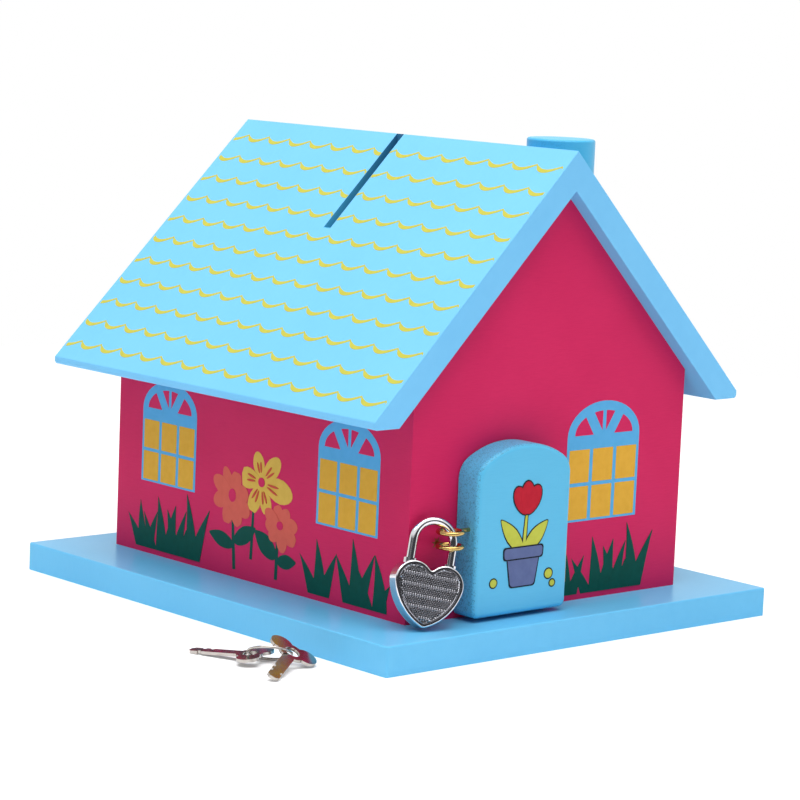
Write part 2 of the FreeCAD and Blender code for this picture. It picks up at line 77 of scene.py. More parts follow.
# How the padlock hangs
LOCK_PLACE = (-51.28864, -74.48925, 33.86405)
LOCK_ACROSS = (0.90203, -0.37620, -0.21171)
LOCK_ALONG = (0.27281, 0.11672, 0.95496)
LOCK_OUT = Vector(LOCK_ACROSS).cross(Vector(LOCK_ALONG))
PLATE_FRONT = 2.45

# Thickness of the printed colours
INK = 0.05
PANE_INK = 0.08
STALK_INK = 0.03
OVER_INK = 0.2
FILM_STEP = 0.012

# How close counts as the same place, and as the same point
NEAR = 0.01
MERGE = 0.001


# The finishes

def rgb(red, green, blue):
    """A colour seen on screen, as the shader's own numbers."""
    def light(value):
        share = value / 255
        return share / 12.92 if share <= 0.04045 else ((share + 0.055) / 1.055) ** 2.4
    return (light(red), light(green), light(blue), 1.0)


class Tone:
    """One socket of a finish. Sums on it add Math nodes."""

    def __init__(self, tree, socket):
        self.tree = tree
        self.socket = socket

    def node(self, kind, settings=None, sockets=None, out=0):
        made = self.tree.nodes.new(kind)
        for key, value in (settings or {}).items():
            setattr(made, key, value)
        for key, value in (sockets or {}).items():
            if isinstance(value, Tone):
                self.tree.links.new(value.socket, made.inputs[key])
            else:
                made.inputs[key].default_value = value
        return Tone(self.tree, made.outputs[out])

    def sum(self, operation, first, second=0.0):
        return self.node("ShaderNodeMath", {"operation": operation}, {0: first, 1: second})

    def __add__(self, other):
        return self.sum("ADD", self, other)

    __radd__ = __add__

    def __sub__(self, other):
        return self.sum("SUBTRACT", self, other)

    def __rsub__(self, other):
        return self.sum("SUBTRACT", other, self)

    def __mul__(self, other):
        return self.sum("MULTIPLY", self, other)

    __rmul__ = __mul__

    def __gt__(self, other):
        return self.sum("GREATER_THAN", self, other)

    def __lt__(self, other):
        return self.sum("LESS_THAN", self, other)

    def __abs__(self):
        return self.sum("ABSOLUTE", self)

    def mix(self, first, second):
        """A colour between two, by this share."""
        return self.node("ShaderNodeMix", {"data_type": "RGBA", "clamp_factor": True},
                         {0: self, 6: first, 7: second}, 2)

    def noise(self, spots, detail=3.0, stretch=(1, 1, 1), rough=0.55):
        """A mottle at so many spots to the metre, on this vector."""
        turned = self.node("ShaderNodeMapping", None, {"Vector": self, "Scale": stretch})
        return self.node("ShaderNodeTexNoise", None,
                         {"Vector": turned, "Scale": spots, "Detail": detail, "Roughness": rough})

    def ramp(self, low, high):
        """Spread this value so that low becomes 0 and high becomes 1."""
        return self.node("ShaderNodeMapRange", None, {0: self, 1: low, 2: high})

    def axis(self, index):
        return self.node("ShaderNodeSeparateXYZ", None, {0: self}, index)

    def along(self, direction):
        """How far this vector reaches along a direction."""
        return self.node("ShaderNodeVectorMath", {"operation": "DOT_PRODUCT"},
                         {0: self, 1: direction}, 1)


def new_finish(name):
    """An empty finish: its shader, and the place on the piece as a vector."""
    material = bpy.data.materials.new(name)
    material.use_nodes = True
    tree = material.node_tree
    shader = tree.nodes["Principled BSDF"]
    place = tree.nodes.new("ShaderNodeTexCoord")
    return material, shader, Tone(tree, place.outputs["Object"])


def feed(shader, socket, tone):
    tone.tree.links.new(tone.socket, shader.inputs[socket])


def hold(shader, values):
    """Set the sockets that are the same all over."""
    for socket, value in values.items():
        shader.inputs[socket].default_value = value


def bump(shader, height, strength, distance):
    made = height.node("ShaderNodeBump", None,
                       {"Height": height, "Strength": strength, "Distance": distance})
    feed(shader, "Normal", made)


# Spots to the metre of each mottle
CLOUDS = 28.0
STREAKS = 260.0
PORES = 2600.0
SPECKS = 2400.0
FILM_SPOTS = 420.0
INK_DOTS = 3000.0
SMEARS = 320.0
PITS = 2400.0

# How far each mottle tints, roughens or raises its finish
CLOUD_SHARE = 0.55
CLOUD_ROUGH = 0.08
PORE_ROUGH = 0.06
STREAK_RAISE = 0.6
FILM_SHARE = 0.7
DOT_ROUGH = 0.1
MARK_ROUGH = 0.3
PIT_ROUGH = 0.05
PIT_RAISE = 0.5

FACING = 0.82
COAT_ROUGH = 0.12
INK_SHINE = 0.06
SPECK_BLUE = rgb(44, 92, 128)
# Painted shade inside the coin slot: lighter at its foot, darkest at the ridge
SLOT_SHADE_LOW = rgb(78, 174, 212)
SLOT_SHADE_HIGH = rgb(44, 110, 154)


def specks(place):
    """Rough dark specks on a board's sides, not on its front and back."""
    normal = place.node("ShaderNodeNewGeometry", None, None, 1)
    side = 1.0 - (abs(normal.axis(1)) > FACING)
    return place.noise(SPECKS).ramp(low=0.52, high=0.64) * side


def slot_painted_shade(place, tint):
    """Painted shade inside the coin slot, darker towards the ridge."""
    near = abs(place.axis(1) - SLOT_PLACE * MM) < (SLOT_WIDTH / 2 + SLOT_SHADE_SIDE) * MM
    across = place.axis(0)
    foot = -SLOT_LENGTH * SLOPE
    in_slot_shade = near * (across > (foot - SLOT_SHADE_END) * MM) * (across < 0.0)
    depth = across.ramp(low=foot * MM, high=0.0)
    return in_slot_shade.mix(tint, depth.mix(SLOT_SHADE_LOW, SLOT_SHADE_HIGH))


def board_paint(name, colour, deep, rough, grain, gloss=0.0, speckle=0.0, shine=0.3, shaded_slot=False):
    """Sprayed paint on a wooden board, with a faint grain and clouding."""
    material, shader, place = new_finish(name)
    clouds = place.noise(CLOUDS)
    streaks = place.noise(STREAKS, detail=4.0, stretch=grain)
    pores = place.noise(PORES, detail=2.0)
    cloudy = clouds.ramp(low=0.35, high=0.7) * CLOUD_SHARE
    streaky = streaks.ramp(low=0.4, high=0.75) * (1 - CLOUD_SHARE)
    tint = (cloudy + streaky).mix(colour, deep)
    if speckle:
        tint = (specks(place) * speckle).mix(tint, SPECK_BLUE)
    # On the roof boards, painted shade inside the coin slot
    if shaded_slot:
        tint = slot_painted_shade(place, tint)
    feed(shader, "Base Color", tint)
    feed(shader, "Roughness", rough + clouds * CLOUD_ROUGH + pores * PORE_ROUGH)
    raised = streaks * STREAK_RAISE + pores * (1 - STREAK_RAISE)
    bump(shader, raised, strength=0.12, distance=0.0002)
    hold(shader, {"Coat Weight": gloss, "Coat Roughness": COAT_ROUGH, "Specular IOR Level": shine})
    return material


def print_ink(name, colour, deep, rough=0.42):
    """Screen-printed colour, a little uneven."""
    material, shader, place = new_finish(name)
    film = place.noise(FILM_SPOTS, detail=4.0)
    dots = place.noise(INK_DOTS, detail=2.0)
    feed(shader, "Base Color", (film.ramp(low=0.35, high=0.75) * FILM_SHARE).mix(colour, deep))
    feed(shader, "Roughness", rough + dots * DOT_ROUGH)
    bump(shader, dots, strength=0.08, distance=0.0001)
    hold(shader, {"Specular IOR Level": INK_SHINE})
    return material


def plated(name, colour, dull, rough, wear=0.35):
    """Plated metal with handling marks."""
    material, shader, place = new_finish(name)
    smears = place.noise(SMEARS, detail=5.0, stretch=(1, 1, 3))
    pits = place.noise(PITS)
    marks = smears.ramp(low=0.45, high=0.8) * wear
    feed(shader, "Base Color", marks.mix(colour, dull))
    feed(shader, "Roughness", rough + marks * MARK_ROUGH + pits * PIT_ROUGH)
    raised = pits * PIT_RAISE + smears * (1 - PIT_RAISE)
    bump(shader, raised, strength=0.08, distance=0.0001)
    hold(shader, {"Metallic": 1.0})
    return material


pink_wall = board_paint("pink_wall", rgb(206, 39, 93), rgb(195, 32, 86),
                        rough=0.42, grain=(1, 1, 12), shine=0.1)
roof_blue = board_paint("roof_blue", rgb(119, 195, 240), rgb(113, 190, 237),
                        rough=0.45, grain=(1, 12, 1), shine=0.2, shaded_slot=True)
base_blue = board_paint("base_blue", rgb(105, 190, 233), rgb(98, 184, 229),
                        rough=0.24, grain=(1, 12, 1), gloss=0.06, shine=0.16)
door_blue = board_paint("door_blue", rgb(88, 184, 223), rgb(80, 177, 218),
                        rough=0.36, grain=(1, 1, 10), gloss=0.1, speckle=0.6)
chimney_blue = board_paint("chimney_blue", rgb(76, 182, 226), rgb(68, 174, 220),
                           rough=0.36, grain=(1, 1, 6), gloss=0.1, speckle=0.2)
window_blue = print_ink("window_blue", rgb(90, 170, 220), rgb(82, 162, 212))
pane_ochre = print_ink("pane_ochre", rgb(220, 168, 62), rgb(210, 158, 52))
grass_green = print_ink("grass_green", rgb(8, 78, 68), rgb(6, 68, 58))
petal_yellow = print_ink("petal_yellow", rgb(216, 178, 82), rgb(206, 166, 72))
petal_orange = print_ink("petal_orange", rgb(212, 98, 84), rgb(202, 90, 78))
petal_streak = print_ink("petal_streak", rgb(200, 84, 64), rgb(190, 72, 58))
tile_yellow = print_ink("tile_yellow", rgb(194, 190, 80), rgb(184, 178, 72))
outline_ink = print_ink("outline_ink", rgb(34, 40, 48), rgb(26, 30, 38))
leaf_lime = print_ink("leaf_lime", rgb(190, 194, 78), rgb(176, 182, 68))
bloom_red = print_ink("bloom_red", rgb(186, 34, 52), rgb(170, 26, 44))
pot_slate = print_ink("pot_slate", rgb(96, 108, 150), rgb(86, 98, 140))
bare_wood = print_ink("bare_wood", rgb(150, 92, 62), rgb(92, 48, 36), rough=0.7)
brass = plated("brass", rgb(206, 170, 104), rgb(140, 108, 60), rough=0.16)
chrome = plated("chrome", rgb(222, 222, 226), rgb(160, 160, 164), rough=0.06, wear=0.15)
plate_grey = plated("plate_grey", rgb(124, 124, 128), rgb(84, 84, 90), rough=0.22, wear=0.5)
stamped = plated("stamped", rgb(205, 205, 210), rgb(140, 140, 146), rough=0.1, wear=0.3)
nickel = plated("nickel", rgb(184, 178, 172), rgb(108, 102, 96), rough=0.12, wear=0.3)
steel = plated("steel", rgb(180, 180, 182), rgb(120, 120, 124), rough=0.3)


def paint(piece, finish):
    piece.data.materials.clear()
    piece.data.materials.append(finish)


for finish, names in (
        (base_blue, ["baseboard"]),
        (pink_wall, ["front_gable_wall", "rear_gable_wall", "left_wall", "right_wall", "wall_brads"]),
        (roof_blue, ["roof_panel_left", "roof_panel_right", "roof_brads"]),
        (chimney_blue, ["chimney"]),
        (door_blue, ["door"]),
        (brass, ["door_eye", "wall_eye", "lower_hinge_wall_leaf", "lower_hinge_door_leaf",
                 "upper_hinge_wall_leaf", "upper_hinge_door_leaf", "hinge_wall_screws",
                 "hinge_door_screws"]),
        (steel, ["chimney_screw", "base_screws", "lower_hinge_pin", "upper_hinge_pin",
                 "lock_catch_spring"]),
        (chrome, ["lock_case", "lock_shackle"]),
        (plate_grey, ["lock_face_plate"]),
        (nickel, ["key_ring", "key_1", "key_2"])):
    for name in names:
        paint(nodes[name], finish)


# Working by hand on one piece at a time

def start():
    """Put down whatever was in hand."""
    if bpy.context.object and bpy.context.object.mode != "OBJECT":
        bpy.ops.object.mode_set(mode="OBJECT")
    bpy.ops.object.select_all(action="DESELECT")


def take(piece):
    """Put down whatever was in hand and take up one piece."""
    start()
    piece.select_set(True)
    bpy.context.view_layer.objects.active = piece


def pick(test):
    """Select the points of the piece in hand that pass a test of place."""
    mesh = bmesh.from_edit_mesh(bpy.context.object.data)
    bpy.ops.mesh.select_mode(type="VERT")
    bpy.ops.mesh.select_all(action="DESELECT")
    for point in mesh.verts:
        point.select = bool(test(point.co))
    mesh.select_flush_mode()
    bmesh.update_edit_mesh(bpy.context.object.data)


def pick_edges(test):
    """Select the edges of the piece in hand whose two ends pass a test of place."""
    mesh = bmesh.from_edit_mesh(bpy.context.object.data)
    bpy.ops.mesh.select_mode(type="EDGE")
    bpy.ops.mesh.select_all(action="DESELECT")
    for edge in mesh.edges:
        edge.select = bool(test(*(point.co for point in edge.verts)))
    mesh.select_flush_mode()
    bmesh.update_edit_mesh(bpy.context.object.data)


def put_down(name):
    bpy.ops.object.mode_set(mode="OBJECT")
    piece = bpy.context.object
    piece.name = name
    return piece


def joined(pieces, name):
    start()
    for piece in pieces:
        piece.select_set(True)
    bpy.context.view_layer.objects.active = pieces[0]
    if len(pieces) > 1:
        bpy.ops.object.join()
    pieces[0].name = name
    return pieces[0]


def copied(piece, name):
    """A copy with its own mesh."""
    take(piece)
    bpy.ops.object.duplicate(linked=False)
    bpy.context.object.name = name
    return bpy.context.object


def merged_copy(node, name):
    """A copy of a node with its loose triangles merged, open for work."""
    piece = copied(nodes[node], name)
    bpy.ops.object.mode_set(mode="EDIT")
    bpy.ops.mesh.select_all(action="SELECT")
    bpy.ops.mesh.remove_doubles(threshold=MERGE * MM)
    return piece


def in_a_row(piece, count, step, name):
    """A run of copies to the right."""
    row = copied(piece, name)
    run = row.modifiers.new("run", "ARRAY")
    run.use_relative_offset = False
    run.use_constant_offset = True
    run.constant_offset_displace = (step * MM, 0, 0)
    run.count = count
    bpy.ops.object.modifier_apply(modifier="run")
    return row


def moved(piece, right=0.0, up=0.0, turn=0.0, size=1.0, flip=False):
    """Move a flat print within its own plane, in millimetres and degrees."""
    take(piece)
    piece.location = (right * MM, up * MM, 0)
    piece.rotation_euler = (0, 0, math.radians(turn))
    piece.scale = (-size if flip else size, size, 1)
    bpy.ops.object.transform_apply(location=True, rotation=True, scale=True)
    if flip:
        bpy.ops.object.mode_set(mode="EDIT")
        bpy.ops.mesh.select_all(action="SELECT")
        bpy.ops.mesh.flip_normals()
        bpy.ops.object.mode_set(mode="OBJECT")
    return piece


def thicken(piece, depth):
    """Give a flat print its film thickness, outwards."""
    take(piece)
    film = piece.modifiers.new("film", "SOLIDIFY")
    film.thickness = depth * MM
    film.offset = 1.0
    bpy.ops.object.modifier_apply(modifier="film")
    return piece


def stacked(pieces, name, depth=INK):
    """Give each flat shape a film a little thicker than the last, then join them."""
    for index, piece in enumerate(pieces):
        thicken(piece, depth + index * FILM_STEP)
    return joined(pieces, name)


# Each face: a point on it, its way to the right and its way up
FACES = {
    "left": ((-WALL_SIDE, 0, 0), (0, -1, 0), (0, 0, 1)),
    "right": ((WALL_SIDE, 0, 0), (0, 1, 0), (0, 0, 1)),
    "front": ((0, WALL_FRONT, 0), (1, 0, 0), (0, 0, 1)),
    "rear": ((0, WALL_REAR, 0), (-1, 0, 0), (0, 0, 1)),
    "door": ((0, DOOR_FACE, 0), (1, 0, 0), (0, 0, 1)),
    "lock": (Vector(LOCK_PLACE) + LOCK_OUT * PLATE_FRONT, LOCK_ACROSS, LOCK_ALONG),
    "left_slope": ((0, 0, RIDGE), (0, -1, 0), (SLOPE, 0, SLOPE)),
    "right_slope": ((0, 0, RIDGE), (0, 1, 0), (-SLOPE, 0, SLOPE)),
    "left_end": ((0, ROOF_FRONT, 0), (-1, 0, 0), (0, 0, 1)),
    "right_end": ((0, ROOF_REAR, 0), (1, 0, 0), (0, 0, 1)),
}


def set_on(piece, face):
    """Stand a piece made on the flat on a face."""
    take(piece)
    corner, right, up = (Vector(v) for v in FACES[face])
    out = right.cross(up)
    turned = Matrix((right, up, out)).transposed().to_4x4()
    piece.matrix_world = Matrix.Translation(corner * MM) @ turned
    bpy.ops.object.transform_apply(location=True, rotation=True, scale=True)
    return piece


def fixed(piece, finish, slot, body):
    """Paint a piece and fix it to the body that carries it."""
    paint(piece, finish)
    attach(piece, body)


def laid(piece, face, finish, slot, body="house"):
    """Lay a print on a face and fix it there."""
    set_on(piece, face)
    fixed(piece, finish, slot, body)


# Starting shapes, open for work

def disc(points, half_wide, half_tall):
    """A flat oval round the origin."""
    start()
    bpy.ops.mesh.primitive_circle_add(vertices=points, radius=1, fill_type="NGON", enter_editmode=True)
    bpy.ops.transform.resize(value=(half_wide * MM, half_tall * MM, 1))


def sheet(width, height, right=0.0, up=0.0):
    """A flat plate round the origin, or moved by a share of its size."""
    start()
    bpy.ops.mesh.primitive_plane_add(size=1, enter_editmode=True)
    bpy.ops.transform.translate(value=(right, up, 0))
    bpy.ops.transform.resize(value=(width * MM, height * MM, 1), center_override=(0, 0, 0))


def block(width, length, height, up=0.0):
    """A square block round the origin, or raised by a share of its height."""
    start()
    bpy.ops.mesh.primitive_cube_add(size=1, enter_editmode=True)
    bpy.ops.transform.translate(value=(0, 0, up))
    bpy.ops.transform.resize(value=(width * MM, length * MM, height * MM), center_override=(0, 0, 0))


def turn_outwards():
    bpy.ops.mesh.select_all(action="SELECT")
    bpy.ops.mesh.normals_make_consistent(inside=False)


def draw_up(rise, wide, tall):
    """Raise the flat shape in hand to a smaller top."""
    bpy.ops.mesh.extrude_region_move(TRANSFORM_OT_translate={"value": (0, 0, rise * MM)})
    bpy.ops.transform.resize(value=(wide, tall, 1))
    turn_outwards()


def widen(share):
    """Widen or narrow the points in hand across the piece."""
    bpy.ops.transform.resize(value=(share, 1, 1), center_override=(0, 0, 0))


# Flat shapes

ARCH_POINTS = 40
OVAL_ROW = 0.002
PETAL_FULL = 0.6
BLADE_STEPS = 6
BLADE_ROW = 0.01
BLADE_TAPER = 1.5
BLADE_TIP = 0.02
STEM_HEAD = 0.9
STEM_TOP = 0.75
LEAF_TAPER = 0.55
LEAF_POWER = 1.5
LEAF_POINTS = 24


def half_oval(half, rise, straight=0.0):
    """An arch: half an oval standing on straight sides."""
    disc(ARCH_POINTS, half, rise)
    bpy.ops.mesh.bisect(plane_co=(0, 0, 0), plane_no=(0, 1, 0), clear_inner=True)
    if straight:
        pick(lambda at: at.y < NEAR * MM)
        bpy.ops.mesh.extrude_region_move(TRANSFORM_OT_translate={"value": (0, -straight * MM, 0)})
    return put_down("arch")


def trimmed(piece, cuts):
    """Cut a flat shape along lines, each through a point, keeping the side it faces."""
    take(piece)
    bpy.ops.object.mode_set(mode="EDIT")
    for (x, y), (nx, ny) in cuts:
        bpy.ops.mesh.select_all(action="SELECT")
        bpy.ops.mesh.bisect(plane_co=(x * MM, y * MM, 0), plane_no=(nx, ny, 0), clear_inner=True)
    return put_down(piece.name)


def rounded_plate(width, height, corner):
    sheet(width, height)
    bpy.ops.mesh.bevel(offset=corner * MM, segments=2, affect="VERTICES")
    return put_down("plate")


def shaped_oval(length, width, breadth, points):
    """An oval from the origin along +Y, each row across it widened by its share of the length."""
    disc(points, width / 2, length / 2)
    bpy.ops.transform.translate(value=(0, length / 2 * MM, 0))
    for row in range(1, points // 2):
        share = (1 + math.cos(2 * math.pi * row / points)) / 2
        pick(lambda at: abs(at.y - share * length * MM) < OVAL_ROW * length * MM)
        widen(breadth(share))
    return put_down("oval")


def petal(length, width, waist, points=20):
    """A petal, narrow at its foot."""
    def breadth(share):
        return waist + (1 - waist) * min(1, share / PETAL_FULL)
    return shaped_oval(length, width, breadth, points)


def blade(width, length, lean, bow):
    """A blade of grass from the origin up, tapering to a tip that leans aside."""
    sheet(width, length, up=0.5)
    bpy.ops.mesh.subdivide(number_cuts=BLADE_STEPS - 1)
    for step in range(1, BLADE_STEPS + 1):
        share = step / BLADE_STEPS
        pick(lambda at: abs(at.y - share * length * MM) < BLADE_ROW * length * MM)
        widen(max(1 - share ** BLADE_TAPER, BLADE_TIP))
        aside = lean * share + bow * 4 * share * (1 - share)
        bpy.ops.transform.translate(value=(aside * MM, 0, 0))
    return put_down("blade")


def reach(foot, tip):
    """The length of a line between two points, and its turn from upright."""
    across = tip[0] - foot[0]
    rise = tip[1] - foot[1]
    return math.hypot(across, rise), math.degrees(math.atan2(rise, across)) - 90


def make_stem(foot, head, width):
    """A straight stalk between two points."""
    length, turn = reach(foot, head)
    sheet(width, length, up=0.5)
    bpy.ops.mesh.subdivide(number_cuts=1)
    pick(lambda at: at.y > STEM_HEAD * length * MM)
    widen(STEM_TOP)
    return moved(put_down("stem"), *foot, turn)


def make_leaf(foot, tip, width):
    """A pointed leaf between two points."""
    length, turn = reach(foot, tip)

    def breadth(share):
        return 1 - LEAF_TAPER * max(0, 2 * share - 1) ** LEAF_POWER

    return moved(shaped_oval(length, width, breadth, LEAF_POINTS), *foot, turn)


# Printed windows

WINDOW_HALF = 15.65
WINDOW_STRAIGHT = 26.1
WINDOW_RISE = 10.8
PANE_WIDTH = 8.75
PANE_HEIGHT = 10.2
PANE_CORNER = 0.25
PANE_STEP_ACROSS = 10.18
PANE_FIRST_UP = 5.8
PANE_STEP_UP = 11.35
FAN_FOOT = 26.6
FAN_HALF = 12.5
FAN_RISE = 7.3
FAN_BAR = 1.5
FAN_SLANT = 57
FAN_BAR_FOOT = 0.9
FAN_GAP_FOOT = 4.5
SIDE_WINDOW_SIZE = 0.9
SIDE_WINDOW_SILL = 32.4
SIDE_WINDOW_PLACES = (-45.3, 42.4)
END_WINDOW_SIZE = 1.0
END_WINDOW_SILL = 33.4
FRONT_WINDOW_PLACE = 22.0
REAR_WINDOW_PLACE = 0.0


def make_window(name, face, right, bottom, size):
    """An arched frame, its six panes and the gaps in its fan."""
    arch = half_oval(WINDOW_HALF, WINDOW_RISE, WINDOW_STRAIGHT)
    moved(arch, right, bottom + WINDOW_STRAIGHT * size, 0, size)
    arch.name = name + "_frame"
    thicken(arch, INK)
    laid(arch, face, window_blue, "blue_paint")

    panes = []
    for column in (-1, 0, 1):
        for row in (0, 1):
            pane = rounded_plate(PANE_WIDTH, PANE_HEIGHT, PANE_CORNER)
            panes.append(moved(pane, column * PANE_STEP_ACROSS, PANE_FIRST_UP + row * PANE_STEP_UP))
    glass = joined(panes, name + "_panes")
    moved(glass, right, bottom, 0, size)
    thicken(glass, PANE_INK)
    laid(glass, face, pane_ochre, "ochre_print")

    slant = math.radians(FAN_SLANT)
    nx, ny = -math.sin(slant), math.cos(slant)
    half_bar = FAN_BAR / 2
    inner = [((half_bar, 0), (1, 0)), ((FAN_BAR_FOOT + nx * half_bar, ny * half_bar), (nx, ny))]
    outer = [((FAN_GAP_FOOT, 0), (-nx, -ny))]
    gaps = []
    for flip in (True, False):
        for cuts in (inner, outer):
            gap = trimmed(half_oval(FAN_HALF, FAN_RISE), cuts)
            gaps.append(moved(gap, 0, FAN_FOOT, flip=flip))
    fan = joined(gaps, name + "_fan_gaps")
    moved(fan, right, bottom, 0, size)
    thicken(fan, PANE_INK)
    laid(fan, face, pink_wall, "pink_paint")


for face, names in (("left", ("far", "near")), ("right", ("near", "far"))):
    for name, place in zip(names, SIDE_WINDOW_PLACES):
        make_window(face + "_" + name + "_window", face, place, SIDE_WINDOW_SILL, SIDE_WINDOW_SIZE)
make_window("front_window", "front", FRONT_WINDOW_PLACE, END_WINDOW_SILL, END_WINDOW_SIZE)
make_window("rear_window", "rear", REAR_WINDOW_PLACE, END_WINDOW_SILL, END_WINDOW_SIZE)


# Printed grass

def make_clump(blades):
    """Blades side by side on one line."""
    return stacked([moved(blade(*shape), at) for at, *shape in blades], "clump")


# Each blade: place of its foot, width, length, lean of its tip, bow
CLUMP_A = [(-14.4, 5.8, 10.1, -7.4, 0.5), (-13.0, 5.2, 15.1, -2.3, -0.3), (-8.5, 4.6, 11.5, -4.9, 0.3),
           (-10.6, 4.8, 12.6, 4.4, -0.3), (-3.7, 5.9, 17.4, -2.3, 0.5), (3.6, 6.2, 14.0, -4.6, 0.3),
           (0.2, 6.4, 15.9, 3.1, -0.3), (4.6, 5.2, 14.9, 4.2, -0.6), (8.6, 6.0, 9.0, 0.4, 0.0),
           (11.9, 6.0, 20.5, -2.9, 0.8), (13.4, 6.0, 17.1, 7.3, -0.6)]
CLUMP_B = [(-14.3, 6.0, 11.3, -7.4, 0.6), (-12.0, 6.2, 17.0, -2.0, 0.6), (-10.2, 5.6, 14.1, 5.7, -0.4),
           (1.9, 5.8, 13.8, -6.7, 0.4), (4.5, 6.0, 19.8, -1.9, 0.5), (10.2, 5.0, 11.6, -5.2, 0.3),
           (6.2, 5.8, 16.6, 6.4, -0.4), (15.6, 6.6, 16.6, -2.8, 0.9), (14.6, 5.6, 8.6, 5.2, -0.3)]
CLUMP_C = [(-17.2, 6.0, 12.8, 0.4, 0.0), (-7.6, 5.0, 11.4, -7.1, 0.3), (-14.2, 5.0, 11.9, 4.9, -0.3),
           *CLUMP_A[4:]]
CLUMP_FOOT = 10.7
clump_a = make_clump(CLUMP_A)
clump_b = make_clump(CLUMP_B)
clump_c = make_clump(CLUMP_C)
for name, clump, face, right in (
        ("left_far_grass", clump_a, "left", -44.0), ("left_near_grass", clump_b, "left", 43.0),
        ("right_near_grass", clump_a, "right", -45.2), ("right_far_grass", clump_b, "right", 43.0),
        ("front_grass", clump_c, "front", 25.2), ("rear_grass", clump_b, "rear", 24.0),
        ("rear_grass_left", clump_a, "rear", -26.0)):
    laid(moved(copied(clump, name), right, CLUMP_FOOT), face, grass_green, "green_print")
for clump in (clump_a, clump_b, clump_c):
    bpy.data.objects.remove(clump)


# Printed flowers

PETAL_WAIST = 0.6
TEAR_LEFT = (0.18, -1)
TEAR_RIGHT = (-0.35, -1)
TEAR_ASIDE = 1 / 6
EYE_POINTS = 20
STREAK_WIDTH = 0.75
STREAK_WAIST = 0.8
STREAK_POINTS = 10
STREAK_START = 2.9
STREAK_SHARE = 0.36
STREAK_TURNS = (-11, 5)
TALL_FLOWER_PLACE = (2.0, 40.8)


def make_flower(name, face, place, petals, finish, slot, eye):
    """Petals given by turn, length, width and where a torn one is cut off, round an oval eye."""
    shapes = []
    for turn, length, width, cut in petals:
        one = petal(length, width, PETAL_WAIST)
        if cut:
            torn = cut * length
            one = trimmed(one, [((0, torn), TEAR_LEFT), ((width * TEAR_ASIDE, torn), TEAR_RIGHT)])
        shapes.append(moved(one, 0, 0, turn))
    bloom = moved(stacked(shapes, name + "_petals"), *place)
    laid(bloom, face, finish, slot)
    disc(EYE_POINTS, *eye)
    middle = moved(put_down(name + "_eye"), *place)
    thicken(middle, OVER_INK)
    laid(middle, face, pink_wall, "pink_paint")


def make_streaks(name, face, place, streaks):
    """Thin strokes along the petals, given by turn and length."""
    lines = []
    for turn, length in streaks:
        line = moved(petal(length, STREAK_WIDTH, STREAK_WAIST, STREAK_POINTS), 0, STREAK_START)
        lines.append(moved(line, 0, 0, turn))
    marks = moved(stacked(lines, name, OVER_INK), *place)
    laid(marks, face, petal_streak, "orange_print")


# Each petal: turn, length, width, and the share of its length left where it is torn
YELLOW_PETALS = [(17, 9.6, 5.6, 0), (-46, 11.8, 6.4, 0), (-100, 15.2, 8.0, 0), (-160, 11.0, 5.6, 0.9),
                 (153, 11.8, 6.0, 0.9), (86, 11.4, 7.0, 0.84)]
YELLOW_STREAKS = [(turn + step, STREAK_SHARE * length) for turn, length, _, _ in YELLOW_PETALS
                  for step in STREAK_TURNS]
FAR_PETALS = [(27, 9.5, 4.4, 0), (-18, 8.4, 5.6, 0.92), (65, 10.6, 5.6, 0), (109, 9.8, 5.8, 0),
              (162, 9.9, 5.8, 0.96), (-159, 10.3, 5.8, 0.96), (-122, 10.1, 6.0, 0), (-81, 8.0, 6.4, 0)]
NEAR_PETALS = [(16, 6.7, 4.8, 0.94), (-36, 6.6, 4.8, 0), (-85, 8.4, 5.4, 0), (-122, 9.1, 5.4, 0.95),
               (-168, 8.4, 5.2, 0), (137, 6.9, 5.2, 0), (94, 7.0, 5.2, 0), (62, 8.3, 4.6, 0)]
# Each flower: its name, place, petals, finish, slot and the size of its eye
FLOWERS = [("_far_flower", (-12.1, 34.6), FAR_PETALS, petal_orange, "orange_print", (1.8, 2.1)),
           ("_near_flower", (11.5, 28.8), NEAR_PETALS, petal_orange, "orange_print", (1.5, 1.35)),
           ("_tall_flower", TALL_FLOWER_PLACE, YELLOW_PETALS, petal_yellow, "yellow_print", (1.6, 1.5))]
# Each stem or leaf: its foot, tip and width
STALKS = [(make_stem, (-10.3, 11.5), (-11.8, 29.0), 1.5), (make_leaf, (-11.0, 18.8), (-23.2, 21.4), 5.0),
          (make_leaf, (-10.6, 20.2), (-0.2, 26.0), 5.6), (make_stem, (-2.2, 16.0), (-1.6, 32.0), 1.3),
          (make_leaf, (9.9, 18.4), (-0.6, 25.4), 6.4), (make_stem, (10.2, 11.8), (10.5, 24.5), 1.4),
          (make_leaf, (10.6, 17.6), (19.6, 18.6), 4.6)]
for face in ("left", "right"):
    stalks = stacked([make(foot, tip, width) for make, foot, tip, width in STALKS],
                     face + "_flower_stalks", STALK_INK)
    laid(stalks, face, grass_green, "green_print")
    for name, place, petals, finish, slot, eye in FLOWERS:
        make_flower(face + name, face, place, petals, finish, slot, eye)
    make_streaks(face + "_petal_streaks", face, TALL_FLOWER_PLACE, YELLOW_STREAKS)


# The roof boards, with a crisp arris along each eave

ROOF_UNDER = 135.0
EAVE_FOOT = 68.3
EAVE_REACH = 76.3
EAVE_ROUND = 1.3
EAVE_STEPS = 10
ARRIS = 0.22
SMOOTH_BELOW = 12


def cut_out(piece, cutter):
    """Cut one shape out of another and throw it away."""
    take(piece)
    cut = piece.modifiers.new("cut", "BOOLEAN")
    cut.operation = "DIFFERENCE"
    cut.solver = "EXACT"
    cut.object = cutter
    bpy.ops.object.modifier_apply(modifier="cut")
    bpy.data.objects.remove(cutter)


def slot_cutter(spare, depth):
    """A block the size of the coin slot, on the flat."""
    block(SLOT_WIDTH + spare, 2 * SLOT_LENGTH, depth)
    bpy.ops.transform.translate(value=(-SLOT_PLACE * MM, 0, 0))
    return put_down("slot_cutter")


